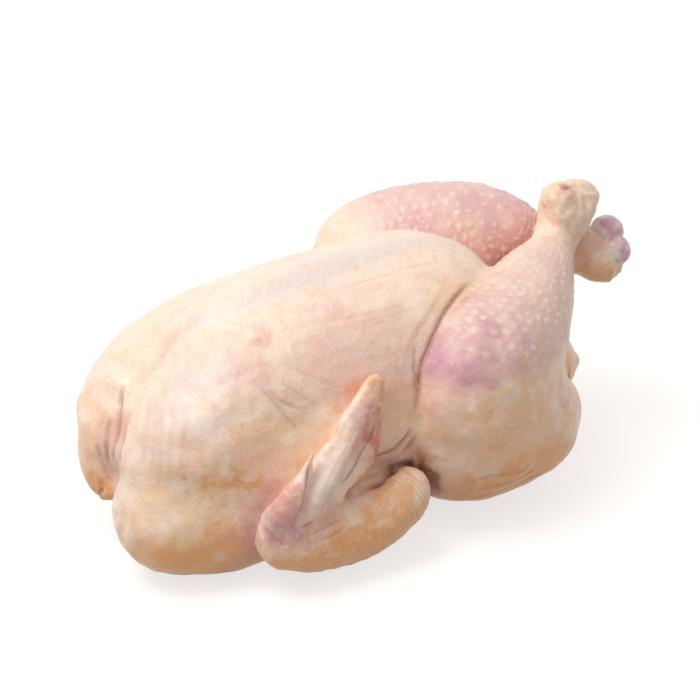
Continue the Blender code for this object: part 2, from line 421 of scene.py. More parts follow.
def pimples(u, v, spacing, size, seed=0, missing=0.1):
    """Feather follicles on the plane of u and v: a dome (1 - (distance / size)^2)^2 at each
    point of a staggered lattice, shifted and scaled by chance, some left out."""
    row_height = spacing * 0.866
    row = np.floor(v / row_height)
    height = np.zeros(len(u))
    for dr in (-1, 0, 1):
        r = row + dr
        offset = 0.5 * spacing * (r % 2)
        column = np.floor((u - offset) / spacing)
        for dc in (-1, 0, 1):
            c = column + dc
            chance = [scatter(c, r, np.full_like(r, n), seed) for n in range(4)]
            cu = (c + 0.5 + 0.5 * (chance[0] - 0.5)) * spacing + offset
            cv = (r + 0.5 + 0.5 * (chance[1] - 0.5)) * row_height
            reach = size * (0.75 + 0.5 * chance[2])
            near = np.maximum(1 - ((u - cu) ** 2 + (v - cv) ** 2) / reach ** 2, 0) ** 2
            near = near * (chance[3] > missing) * (0.6 + 0.4 * chance[2])
            height = np.maximum(height, near)
    return height


# ---------------------------------------------------------------------------
# A skin: points, normals, relief and tints
# ---------------------------------------------------------------------------
TINT_COLOURS = {    # laid over the skin's own colour in this order
    # the tan below is a warm tone of the skin on neck and hand, and painted shade low on the body, thigh
    # and wing
    "fat": (238, 184, 112), "tan": (240, 180, 122), "blush": (234, 186, 174),
    # the raw red below is raw flesh at edges and pits, and painted shade low on the far calf
    "lilac": (208, 154, 168), "blue": (232, 220, 218), "raw": (212, 118, 108),
    # the brown below is shade painted into creases, wrinkle troughs, hollows, the gap beside the wing and
    # along the bottom
    "dome": (250, 228, 204), "crease_shade": (158, 86, 60)}


def corner_sums(values, quads, count):
    """For each point, the sum of its quads' values."""
    return np.stack([np.bincount(quads.ravel(), np.repeat(values[:, axis], 4), count)
                     for axis in range(values.shape[1])], -1)


class Skin:
    """A mesh in draft units, with relief to raise along its normals and tints from 0 to 1."""

    def __init__(self, points, quads):
        self.points, self.quads = points, quads
        self.relax(3)
        self.normals = self.point_normals()
        self.rise = np.zeros(len(points))
        self.tints = {name: np.zeros(len(points)) for name in TINT_COLOURS}

    def relax(self, rounds):
        """Move each point halfway to the mean of its neighbours, rounds times."""
        count = len(self.points)
        a = self.quads.ravel()
        b = np.roll(self.quads, -1, axis=1).ravel()
        degree = (np.bincount(a, minlength=count) + np.bincount(b, minlength=count))[:, None]
        for _ in range(rounds):
            total = np.stack([np.bincount(a, self.points[b, axis], count)
                              + np.bincount(b, self.points[a, axis], count)
                              for axis in range(3)], -1)
            self.points = self.points + 0.5 * (total / np.maximum(degree, 1) - self.points)

    def point_normals(self):
        """The mean direction of the quads round each point."""
        p = self.points[self.quads]
        facing = np.cross(p[:, 2] - p[:, 0], p[:, 3] - p[:, 1])
        return unit_rows(corner_sums(facing, self.quads, len(self.points)))

    def settle(self):
        """Raise the points by the relief gathered so far, and start it afresh."""
        self.points = self.points + self.normals * self.rise[:, None]
        self.normals = self.point_normals()
        self.rise[:] = 0

    def tint(self, name, amount):
        """Add to a tint, which stays between 0 and 1."""
        self.tints[name] = np.clip(self.tints[name] + amount, 0, 1)

    def patch(self, centre, radii, ragged=0.25, size=12.0):
        """A patch's strength: 1 at its centre, falling off to 0 at about its radii, where its
        edge is made ragged by noise."""
        away = np.linalg.norm((self.points - np.array(centre)) / np.array(radii), axis=1)
        near = np.flatnonzero(away < 1.15 + 1.3 * ragged)
        strength = np.zeros(len(away))
        wander = ragged * noise(self.points[near], size, 3, 3)
        strength[near] = 1 - smooth_step(away[near] + wander, 0.35, 1.15)
        return strength

    def stroke(self, path, width, depth, lip, tint, name="crease_shade"):
        """A fold along a path: relief -depth exp(-(s / width)^2), s being the distance to the
        path, with a lip on its left side; both fade out towards the path's ends."""
        line = catmull(path, 8 * (len(path) - 1) + 1)
        reach = 3.2 * width
        low, high = line.min(0) - reach, line.max(0) + reach
        near = np.flatnonzero(np.all((self.points > low) & (self.points < high), axis=1))
        if not len(near):
            return
        p, n = self.points[near], self.normals[near]
        best, along, side = np.full(len(near), 1e9), np.zeros(len(near)), np.zeros(len(near))
        for i, (start, end) in enumerate(zip(line, line[1:])):
            run = end - start
            t = np.clip(((p - start) @ run) / (run @ run), 0, 1)
            gap = p - start - t[:, None] * run
            distance = np.linalg.norm(gap, axis=1)
            closer = distance < best
            best = np.where(closer, distance, best)
            along = np.where(closer, (i + t) / (len(line) - 1), along)
            side = np.where(closer, np.sign((np.cross(run, n) * gap).sum(1)), side)
        fade = smooth_step(np.minimum(along, 1 - along), -0.02, 0.22)
        groove = np.exp(-(best / width) ** 2) * fade
        bank = np.exp(-((best - 1.7 * width) / width) ** 2) * fade * (side > 0)
        self.rise[near] += -depth * groove + lip * bank
        # the tint follows the groove; by default it is shade painted into the crease
        self.tints[name][near] = np.clip(self.tints[name][near] + tint * groove, 0, 1)


def limb_places(points, stations):
    """For each point, how far along the stations' centre line it lies, its turn round the line
    and its distance from it."""
    line = catmull(np.asarray(stations, float)[:, :3], 6 * (len(stations) - 1) + 1)
    lengths = np.linalg.norm(np.diff(line, axis=0), axis=1)
    before = np.concatenate([[0], np.cumsum(lengths)])
    best, along, gap = np.full(len(points), 1e9), np.zeros(len(points)), np.zeros((len(points), 3))
    heading = np.zeros((len(points), 3))
    for i, (start, end) in enumerate(zip(line, line[1:])):
        run = end - start
        t = np.clip(((points - start) @ run) / (run @ run), 0, 1)
        offset = points - start - t[:, None] * run
        distance = np.linalg.norm(offset, axis=1)
        closer = distance < best
        best = np.where(closer, distance, best)
        along = np.where(closer, before[i] + t * lengths[i], along)
        gap = np.where(closer[:, None], offset, gap)
        heading = np.where(closer[:, None], run / lengths[i], heading)
    across = unit_rows(np.cross([0.0, 0.0, 1.0], heading))
    up = np.cross(heading, across)
    turn = np.arctan2((gap * up).sum(1), (gap * across).sum(1))
    return along, turn, best


def place(points):
    """Draft units to metres in the frame."""
    return (points - DRAFT_LOW) * UNIT + FRAME_LOW


# ---------------------------------------------------------------------------
# Relief and tints of the skin: a fold is its width, depth, lip, tint and path, the tint being shade painted
# into its crease
# ---------------------------------------------------------------------------
FOLDS = [
    # between breast and drumstick, and the slack edge beside it
    (1.2, 1.0, 0.0, 1.0, [(96, -30, 122), (82, -39, 122), (68, -47, 117), (58, -54, 111),
                          (49, -60, 103), (45, -62, 97), (41, -67, 87), (38, -69, 70)]),
    (0.9, 0.6, 0.4, 0.5, [(47, -52, 110), (43, -59, 102), (41, -64, 94), (39, -67, 86)]),
    (1.5, 0.35, 0.2, 0.2, [(76, -34, 124), (60, -46, 118), (44, -55, 108), (36, -62, 96)]),
    # gathered skin of the neck
    (1.1, 1.5, 0.5, 0.6, [(-88, 6, 90), (-92, 1, 84), (-95, -4, 79), (-99, -9, 72), (-102, -12, 62),
                          (-104, -13, 52)]),
    (1.0, 1.2, 0.8, 0.6, [(-89, -3, 88), (-94, -9, 83), (-98, -17, 78), (-102, -22, 70), (-105, -25, 60)]),
    (1.1, 1.2, 0.6, 0.7, [(-98, 0, 77), (-101, -3, 69), (-104, -6, 61), (-105, -8, 53), (-104, -10, 46)]),
    (1.1, 0.9, 0.6, 0.4, [(-104, 5, 70), (-106, 0, 63), (-107, -4, 56), (-106, -6, 49), (-105, -8, 43)]),
    (1.0, 0.6, 0.4, 0.3, [(-102, 14, 74), (-106, 9, 64), (-107, 4, 55), (-107, 1, 47)]),
    (2.0, 2.4, 0.0, 1.0, [(-104, -12, 47), (-106, -15, 42), (-107, -19, 38)]),
    # slack folds down the front of the breast
    (2.4, 0.55, 0.3, 0.15, [(-86, -20, 96), (-95, -36, 82), (-101, -45, 64)]),
    (1.8, 0.45, 0.2, 0.12, [(-85, -24, 96), (-92, -41, 83), (-99, -49, 60)]),
    (2.2, 0.50, 0.3, 0.12, [(-83, -26, 98), (-91, -46, 82), (-97, -54, 58)]),
    (1.6, 0.40, 0.2, 0.10, [(-79, -34, 99), (-87, -50, 82), (-92, -58, 60)]),
    (2.2, 0.40, 0.2, 0.10, [(-75, -44, 97), (-82, -56, 80), (-86, -62, 62)]),
    (3.5, 1.00, 0.0, 0.15, [(-88, -1, 84), (-77, -3, 98), (-62, -3, 115), (-45, -4, 125)]),
    # slanting creases on the side of the breast
    (1.1, 0.55, 0.3, 0.25, [(-42, -52, 105), (-37, -58, 99), (-30, -65, 88), (-24, -69, 80)]),
    (1.0, 0.40, 0.3, 0.25, [(-38, -54, 104), (-32, -60, 97), (-22, -64, 91)]),
    (1.0, 0.35, 0.2, 0.20, [(-31, -54, 106), (-22, -60, 98), (-12, -64, 90)]),
    (1.0, 0.35, 0.2, 0.20, [(-50, -54, 100), (-46, -60, 92), (-40, -66, 82)]),
    (1.0, 0.30, 0.2, 0.15, [(-24, -50, 110), (-12, -57, 103), (2, -62, 95)]),
    (1.0, 0.30, 0.2, 0.15, [(-60, -50, 100), (-58, -58, 90), (-54, -65, 80)]),
    (0.8, 0.30, 0.1, 0.20, [(7, -23, 129), (32, -23, 131), (61, -23, 133), (90, -19, 129)]),
    (1.0, 0.25, 0.1, 0.10, [(-10, -36, 122), (20, -40, 122), (50, -40, 122), (74, -34, 123)]),
    # web between wing, breast and thigh
    (1.1, 1.2, 0.6, 0.8, [(38, -69, 70), (33, -69, 63), (27, -68, 58), (18, -69, 57), (10, -72, 58)]),
    (1.3, 1.3, 0.6, 0.8, [(39, -70, 64), (34, -69, 56), (27, -71, 50), (16, -76, 49)]),
    (3.6, 1.8, 0.0, 1.0, [(42, -68, 48), (36, -66, 45), (30, -66, 45), (24, -72, 47), (17, -76, 48)]),
    (2.4, 3.4, 0.0, 1.0, [(22, -74, 47), (13, -77, 48), (6, -79, 49), (0, -81, 50), (-6, -84, 51),
                          (-12, -86, 50)]),
    (3.2, 1.2, 0.0, 1.0, [(38, -70, 50), (42, -74, 44), (44, -77, 36), (43, -80, 26), (42, -82, 14)]),
    # slack skin of the thigh, and the folds under it
    (0.8, 0.40, 0.3, 0.15, [(124, -70, 92), (126, -74, 80), (124, -78, 66), (120, -80, 50)]),
    (0.8, 0.35, 0.3, 0.15, [(118, -77, 92), (119, -81, 78), (117, -85, 62), (112, -87, 48)]),
    (0.8, 0.30, 0.2, 0.10, [(108, -84, 90), (108, -88, 76), (106, -90, 62)]),
    (1.2, 0.60, 0.3, 0.30, [(58, -85, 37), (71, -91, 41), (89, -91, 39), (100, -87, 45)]),
    (1.2, 0.55, 0.3, 0.30, [(60, -84, 30), (76, -89, 33), (94, -88, 33), (108, -82, 40)]),
    (1.2, 0.50, 0.3, 0.30, [(62, -80, 24), (80, -86, 26), (98, -84, 27), (114, -76, 34)]),
    (1.2, 0.50, 0.3, 0.30, [(64, -76, 17), (84, -80, 19), (104, -76, 22), (122, -68, 32)]),
    # vent and tail
    (2.6, 2.6, 0.8, 0.7, [(156, -12, 66), (160, -5, 68), (161, 0, 68), (160, 5, 68), (156, 12, 66)]),
    (2.0, 1.6, 0.3, 0.8, [(150, -30, 60), (158, -26, 50), (162, -24, 38), (160, -26, 26)]),
]

WING_FOLDS = [
    # groove beside the thumb, edge of the finger bones, slack edge of the hand
    (1.5, 1.8, 0.3, 0.4, [(-30, -86, 79), (-32, -90, 71), (-34, -92, 64), (-38, -93, 56), (-43, -93, 48)]),
    (1.0, 0.9, 0.7, 0.8, [(11, -76, 86), (9, -78, 78), (3, -80, 72), (-3, -83, 66), (-8, -85, 62),
                          (-15, -87, 58)]),
    (1.6, 0.5, 0.3, 0.15, [(3, -80, 91), (-9, -85, 79), (-20, -89, 67), (-31, -93, 54)]),
    # puckers at the wrist
    (1.0, 1.1, 0.6, 0.5, [(-42, -94, 44), (-33, -94, 46), (-24, -91, 47), (-12, -87, 48)]),
    (1.0, 0.9, 0.6, 0.4, [(-42, -95, 38), (-33, -95, 40), (-24, -93, 41), (-13, -91, 43)]),
    (1.0, 0.6, 0.4, 0.3, [(-36, -95, 34), (-24, -95, 36), (-12, -93, 38)]),
    (1.3, 0.9, 0.4, 0.3, [(-55, -84, 46), (-52, -89, 41), (-47, -93, 35)]),
    (1.2, 0.6, 0.3, 0.3, [(-50, -86, 54), (-46, -90, 50), (-42, -93, 46)]),
]

# the pit in the top of the near hock, and the creases below it
NEAR_HOCK_FOLDS = [
    (2.0, 1.6, 0.7, 0.4, [(161, -7, 150), (166, -7, 150), (171, -5, 149), (177, -3, 147)]),
    (1.6, 0.7, 0.4, 0.0, [(175, -9, 147), (175, -13, 139), (173, -14, 132)]),
    (1.4, 0.5, 0.3, 0.0, [(160, -12, 140), (164, -14, 134), (165, -15, 127)]),
    (1.4, 0.5, 0.3, 0.0, [(184, -8, 141), (182, -11, 134), (178, -12, 127)]),
]

# patches of colour and of painted shade: tint, amount, raggedness, size of the ragged edge, centre, radii
TRUNK_PATCHES = [
    ("fat", 0.9, 1.1, 4, (-62, -69, 62), (17, 12, 7)),
    ("fat", 0.6, 0.9, 4, (-64, -77, 42), (8, 8, 7)),
    ("fat", 0.28, 0.8, 7, (-84, -58, 50), (36, 26, 36)),
    # painted shade on the low side of breast and shoulder
    ("tan", 0.85, 0.6, 12, (-66, -72, 18), (60, 36, 30)),
    ("tan", 0.4, 0.7, 9, (-104, 8, 62), (14, 26, 32)),
    ("tan", 0.9, 0.5, 7, (-105, 2, 40), (10, 16, 12)),
    ("blush", 0.8, 0.5, 7, (-99, -8, 74), (9, 10, 16)),
    ("blush", 0.5, 0.6, 8, (-103, -6, 50), (9, 12, 16)),
    ("lilac", 0.35, 0.5, 12, (-50, -78, 42), (16, 12, 30)),
    ("lilac", 0.5, 0.4, 5, (-33, -35, 119), (3.5, 3.5, 5)),
    ("blush", 0.5, 0.6, 14, (14, -56, 106), (62, 30, 24)),
    ("blush", 0.35, 0.6, 14, (-54, -36, 108), (34, 24, 20)),
    ("tan", 0.45, 0.9, 8, (26, -68, 78), (34, 16, 18)),
    ("tan", 0.4, 0.9, 8, (-38, -72, 76), (38, 18, 20)),
    ("lilac", 0.4, 0.6, 9, (-56, -74, 38), (16, 14, 26)),
    # painted shadow in the gap between the wing's elbow and the thigh
    ("crease_shade", 0.8, 0.4, 6, (44, -73, 34), (9, 15, 24)),
    ("tan", 0.35, 0.7, 11, (84, -36, 116), (26, 20, 14)),
    ("blush", 0.7, 0.5, 9, (24, -72, 56), (20, 12, 12)),
    ("blue", 0.35, 0.5, 14, (-72, -34, 98), (26, 30, 20)),
    ("tan", 1.0, 0.4, 7, (166, -24, 44), (24, 24, 34)),
]
WING_PATCHES = [
    ("tan", 0.75, 0.6, 6, (16, -68, 99), (20, 12, 17)),
    ("blush", 0.9, 0.6, 6, (2, -76, 82), (18, 14, 18)),
    ("raw", 0.75, 0.7, 4, (10, -76, 74), (9, 8, 16)),
    ("tan", 0.8, 0.5, 5, (2, -78, 58), (14, 8, 8)),
    ("blush", 0.8, 0.7, 5, (-45, -91, 55), (12, 12, 20)),
    ("raw", 0.4, 0.8, 4, (-45, -91, 57), (9, 9, 16)),
    ("lilac", 0.5, 0.5, 8, (-46, -90, 46), (12, 14, 16)),
    ("blush", 0.9, 0.7, 6, (-28, -96, 43), (22, 12, 10)),
    ("blue", 0.45, 0.5, 7, (-20, -90, 64), (14, 10, 16)),
    ("tan", 0.75, 0.8, 7, (14, -90, 34), (36, 20, 26)),
    ("fat", 0.35, 0.9, 5, (-12, -94, 30), (36, 16, 20)),
    # painted shade on the low side of the wing
    ("tan", 0.85, 0.7, 8, (-24, -92, 20), (44, 20, 18)),
]
LEG_PATCHES = [
    ("fat", 0.32, 0.9, 7, (88, -88, 68), (44, 22, 34)),
    ("tan", 0.35, 0.9, 6, (84, -88, 56), (48, 24, 34)),
    ("fat", 0.4, 0.9, 3, (70, -94, 62), (7, 6, 4)),
    ("fat", 0.4, 0.9, 3, (101, -88, 69), (4, 4, 5)),
    ("fat", 0.4, 0.9, 3, (66, -92, 76), (4, 4, 5)),
    ("blue", 0.3, 0.6, 8, (54, -84, 62), (14, 14, 14)),
    ("blush", 0.4, 0.6, 10, (52, -76, 84), (18, 16, 26)),
    # painted shade under the thigh
    ("tan", 0.95, 0.5, 12, (88, -82, 22), (64, 36, 30)),
    ("tan", 0.6, 0.6, 8, (134, -56, 66), (16, 20, 30)),
    ("fat", 0.4, 0.8, 4, (170, -4, 142), (20, 20, 14)),
    ("blush", 0.3, 0.8, 4, (168, -10, 134), (20, 12, 14)),
    ("raw", 0.85, 0.4, 3, (167, -6, 149), (7, 5, 4)),
    ("dome", 0.7, 0.6, 6, (172, -8, 138), (20, 16, 18)),
    ("fat", 0.6, 0.6, 6, (192, -10, 94), (24, 18, 14)),
    ("blush", 0.6, 0.6, 6, (186, 0, 110), (20, 20, 14)),
]

# width and path of the bands along the breast where the skin looks bluish
BLUISH_BANDS = [
    (6.0, [(-64, -4, 114), (-40, -8, 124), (-25, -11, 129), (16, -10, 135), (61, -5, 139), (88, -4, 138)]),
    (3.5, [(-14, 8, 133), (6, 0, 137), (29, -1, 139), (52, 4, 140)]),
]


def work_skin(skin, patches):
    """Slack, folds, bands and shade that run from one piece to the next, and the patches given."""
    p = skin.points
    slack = 1 - 0.65 * smooth_step(p[:, 2], 85, 120)
    skin.rise += slack * (0.5 * noise(p, 27, 1) + 0.42 * noise(p, 10, 2)) + 0.13 * noise(p, 4.5, 6)
    folded(skin, FOLDS)
    for width, path in BLUISH_BANDS:
        skin.stroke(path, width, -0.1, 0, 0.7, "blue")
    for name, amount, ragged, size, centre, radii in patches:
        skin.tint(name, amount * skin.patch(centre, radii, ragged, size))
    # painted shade: warmer and darker towards the floor, from about 44 draft units up down to the bottom
    skin.tint("tan", 0.7 * smooth_step(-p[:, 2], -44, -4))
    # painted shade: a dark band along the bottom, where the bird meets the floor
    skin.tint("crease_shade", 0.5 * smooth_step(-p[:, 2], -18, -4))


def folded(skin, folds):
    """Press each fold into the skin."""
    for width, depth, lip, tint, path in folds:
        skin.stroke(path, width, depth, lip, tint)


def add_follicles(skin, u, v, strength, spacing, size, height, seed, paleness):
    """Raise and lighten follicles where the strength is more than nothing."""
    chosen = np.flatnonzero(strength > 0.01)
    dome = pimples(u[chosen], v[chosen], spacing, size, seed)
    skin.rise[chosen] += height * dome * strength[chosen]
    skin.tints["dome"][chosen] += paleness * dome * strength[chosen]


def add_rings(skin, along, where, spacing, height, seed):
    """Fine wrinkles across a limb: a wave along it, bent by noise, with shade painted into its troughs."""
    wave = np.sin(2 * math.pi * along / spacing + 3.0 * noise(skin.points, 9, seed))
    wave = wave * (0.6 + 0.4 * noise(skin.points, 6, seed + 1))
    skin.rise += height * wave * where
    # painted shade in the troughs of the wrinkles
    skin.tint("crease_shade", 0.3 * np.maximum(-wave, 0) * where)


# mean radii that turn an angle round a body into a distance over its skin
FLANK_RADIUS = 62
CALF_RADIUS = 26
FOREARM_RADIUS = 16


def work_trunk(skin):
    """Goose bumps on the sides of the breast, and the ragged end of the neck skin."""
    p = skin.points
    axis_height, flank_height = 62, 52
    turn = np.arctan2(p[:, 2] - axis_height, -p[:, 1])
    sides = smooth_step(-np.abs(p[:, 2] - flank_height), -48, -16)
    gathered = (0.55 + 0.45 * noise(p, 20, 9)).clip(0, 1)
    add_follicles(skin, p[:, 0], FLANK_RADIUS * turn, sides * gathered,
                  spacing=6.6, size=2.0, height=0.2, seed=21, paleness=0.55)
    ragged = skin.patch((-105, 0, 38), (8, 14, 10))
    lumps = noise(p, 4.5, 7, 2)
    skin.rise += 1.8 * ragged * lumps
    # painted shade in the hollows between the lumps at the neck's ragged end
    skin.tint("crease_shade", 0.7 * ragged * smooth_step(-lumps, 0, 0.3))


def work_leg(skin, near):
    """Follicles on the drumstick, wrinkles at the shank, knobs of the hock and lilac muscle."""
    p = skin.points
    along, turn, _ = limb_places(p, NEAR_DRUMSTICK if near else FAR_DRUMSTICK)
    z = p[:, 2] + 3.0 * noise(p, 12, 5, 2)
    length = along.max()
    calf = (smooth_step(along, 0.12 * length, 0.32 * length)
            * smooth_step(-along, -0.95 * length, -0.78 * length))
    shank = (smooth_step(along, 0.72 * length, 0.82 * length)
             * smooth_step(-along, -length, -0.9 * length))
    add_rings(skin, along, shank, spacing=2.8, height=0.25, seed=31)
    clouds = 0.75 + 0.35 * noise(p, 9, 33, 2)
    if near:
        upper = calf * smooth_step(z, 88, 108)
        add_follicles(skin, along, CALF_RADIUS * turn, upper,
                      spacing=5.6, size=2.0, height=0.46, seed=41, paleness=0.7)
        flesh = smooth_step(z, 89, 98) * smooth_step(-along, -0.86 * length, -0.66 * length) * clouds
        front = smooth_step(-p[:, 0], -122, -76) * smooth_step(-z, -130, -104)
        skin.tint("lilac", flesh * (0.3 + 0.7 * front))
        skin.tint("blush", 0.25 * flesh)
        folded(skin, NEAR_HOCK_FOLDS)
        knob = smooth_step(p[:, 2], 130, 140)
    else:
        add_follicles(skin, along, CALF_RADIUS * turn, calf,
                      spacing=6.4, size=2.4, height=0.6, seed=43, paleness=0.5)
        skin.tint("lilac", 0.55 * calf * clouds)
        # painted shade: redder and darker towards the bottom of the far calf
        skin.tint("raw", 0.5 * calf * clouds * smooth_step(-z, -134, -104))
        skin.tint("blush", 0.4 * calf)
        knob = smooth_step(p[:, 0], 186, 192)
    skin.rise += knob * (0.9 * noise(p, 7, 35) + 0.35 * noise(p, 3, 36))


def work_wing(skin, near):
    """Fine arcs round the elbow, follicles on the forearm and the folds of the hand's outer side."""
    p = skin.points
    along, turn, away = limb_places(p, on_side(FOREARM, near))
    arm = smooth_step(-away, -24, -18)
    elbow = smooth_step(-along, -40, -6)
    add_rings(skin, along, arm * (0.2 + 0.8 * elbow) * smooth_step(-along, -90, -60),
              spacing=2.3, height=0.17, seed=51)
    add_follicles(skin, along, FOREARM_RADIUS * turn, 0.7 * arm * (1 - elbow),
                  spacing=5.2, size=1.8, height=0.25, seed=53, paleness=0.5)
    # each fold of the wing: width, depth, lip, shade painted into its crease, and path
    folded(skin, [(*crease_shade, on_side(path, near)) for *crease_shade, path in WING_FOLDS])
    hand = 1 - arm
    skin.rise += hand * (0.22 * noise(p, 7, 55) + 0.12 * noise(p, 2.8, 56))
    skin.rise += 0.3 * (1 - elbow) * noise(p, 7, 57)


def across(patches):
    """The same patches on both sides of the bird."""
    return patches + [(*rest, (x, -y, z), radii) for *rest, (x, y, z), radii in patches]


def no_tints(count):
    """Tints of a mesh that has none."""
    return {name: np.zeros(count) for name in TINT_COLOURS}


def pegs(feet, normals, leans, lengths, radii, around, rings):
    """Tapered pegs: from each foot, t (length) along the normal turning to the lean,
    radius * (1 - 0.7 t), with t from 0 to 1; the tips are closed."""
    t = np.linspace(0, 1, rings)[None, :, None]
    way = normals[:, None] * (t - 0.5 * t ** 2) * 0.9 + leans[:, None] * t ** 2
    centre = feet[:, None] - normals[:, None] * 0.35 + way * lengths[:, None, None]
    across = unit_rows(np.cross(normals, leans + 0.01))
    up = np.cross(normals, across)
    angle = np.linspace(0, 2 * math.pi, around, endpoint=False)
    ring = (across[:, None] * np.cos(angle)[None, :, None] + up[:, None] * np.sin(angle)[None, :, None])
    size = radii[:, None, None] * (1 - 0.7 * t)
    grid = centre[:, :, None] + ring[:, None] * size[..., None]
    meshes = []
    for one in grid:
        points, triangles, quads = closed_tube(one)
        halves = np.vstack([quads[:, [0, 1, 2]], quads[:, [0, 2, 3]], triangles])
        meshes.append((points, halves, no_tints(len(points))))
    return meshes


def add_piece(name, meshes, material):
    """One object of one or more closed meshes (points in draft units, faces, tints), riding on
    the bird's body."""
    points, faces, tints, start = [], [], [], 0
    for one_points, one_faces, one_tints in meshes:
        points.append(one_points)
        faces.append(one_faces + start)
        tints.append(one_tints)
        start += len(one_points)
    points, faces = np.vstack(points), np.vstack(faces)
    mesh = bpy.data.meshes.new(name)
    mesh.vertices.add(len(points))
    mesh.vertices.foreach_set("co", place(points).astype(np.float32).ravel())
    mesh.loops.add(faces.size)
    mesh.loops.foreach_set("vertex_index", faces.astype(np.int32).ravel())
    mesh.polygons.add(len(faces))
    mesh.polygons.foreach_set("loop_start", (np.arange(len(faces)) * faces.shape[1]).astype(np.int32))
    mesh.update(calc_edges=True)
    mesh.validate()
    mesh.shade_smooth()
    for tint in TINT_COLOURS:
        layer = mesh.attributes.new(tint, "FLOAT", "POINT")
        values = np.concatenate([one[tint] for one in tints]).astype(np.float32)
        layer.data.foreach_set("value", values)
    mesh.materials.append(material)
    piece = bpy.data.objects.new(name, mesh)
    bpy.context.scene.collection.objects.link(piece)
    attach(piece, BODY)
    return piece


# ---------------------------------------------------------------------------
# Shaders
# ---------------------------------------------------------------------------
class Number:
    """A shader value; Python's operators on it add Math nodes."""

    def __init__(self, shader, socket):
        self.shader, self.socket = shader, socket

    def math(self, operation, *values):
        """A Math node on the values."""
        node = self.shader.node("ShaderNodeMath", {"operation": operation}, dict(enumerate(values)))
        return Number(self.shader, node.outputs[0])

    def __add__(self, other):
        return self.math("ADD", self, other)

    def __mul__(self, other):
        return self.math("MULTIPLY", self, other)

    __radd__, __rmul__ = __add__, __mul__

    def step(self, low, high):
        """0 below low, 1 above high, and a smooth S between."""
        node = self.shader.node("ShaderNodeMapRange", {"interpolation_type": "SMOOTHSTEP"},
                                {"Value": self, "From Min": low, "From Max": high})
        return Number(self.shader, node.outputs["Result"])


class Shader:
    """The nodes of a material, or of a world, that is being built."""

    def __init__(self, owner):
        self.owner = owner
        owner.use_nodes = True
        self.tree = owner.node_tree
        self.tree.nodes.clear()

    def node(self, kind, settings=None, inputs=None):
        """A node of a kind, with its settings and the values or links of its sockets."""
        node = self.tree.nodes.new(kind)
        for name, value in (settings or {}).items():
            setattr(node, name, value)
        for name, value in (inputs or {}).items():
            socket = node.inputs[name]
            value = getattr(value, "socket", value)
            if isinstance(value, bpy.types.NodeSocket):
                self.tree.links.new(value, socket)
            else:
                socket.default_value = value
        return node

    def attribute(self, name):
        """A point attribute of the mesh."""
        node = self.node("ShaderNodeAttribute", {"attribute_name": name})
        return Number(self, node.outputs["Fac"])

    def place(self):
        """The point's place in the frame, in metres."""
        return self.node("ShaderNodeTexCoord").outputs["Object"]

    def noise(self, size, detail=3.0, roughness=0.55, stretch=None):
        """Noise from about 0 to 1, with lumps of the given size in metres."""
        where = self.place()
        if stretch is not None:
            where = self.node("ShaderNodeVectorMath", {"operation": "MULTIPLY"},
                              {0: where, 1: stretch}).outputs[0]
        node = self.node("ShaderNodeTexNoise", None, {"Vector": where, "Scale": 1 / size,
                                                      "Detail": detail, "Roughness": roughness})
        return Number(self, node.outputs["Fac"])

    def cells(self, size):
        """Distance to the nearest of scattered points, 1 being their mean spacing."""
        node = self.node("ShaderNodeTexVoronoi", None, {"Vector": self.place(), "Scale": 1 / size})
        return Number(self, node.outputs["Distance"])

    def seen(self):
        """1 where the camera, a reflection or a refraction looks, and 0 for light that falls."""
        rays = self.node("ShaderNodeLightPath").outputs
        return sum(Number(self, rays[f"Is {kind} Ray"]) for kind in ("Camera", "Glossy", "Transmission"))

    def mix(self, factor, a, b):
        """Colour a turning into colour b as the factor goes from 0 to 1."""
        node = self.node("ShaderNodeMix", {"data_type": "RGBA"}, {0: factor, 6: a, 7: b})
        return node.outputs[2]

    def finish(self, **inputs):
        """Put a Principled shader on the surface and return the finished material."""
        shader = self.node("ShaderNodeBsdfPrincipled", None,
                           {name.replace("_", " "): value for name, value in inputs.items()})
        self.node("ShaderNodeOutputMaterial", None, {"Surface": shader.outputs[0]})
        return self.owner


def linear(red, green, blue):
    """A colour of 0 to 255 as a shader colour."""
    return tuple(c / 12.92 if c <= 0.04045 else ((c + 0.055) / 1.055) ** 2.4
                 for c in (red / 255, green / 255, blue / 255)) + (1.0,)


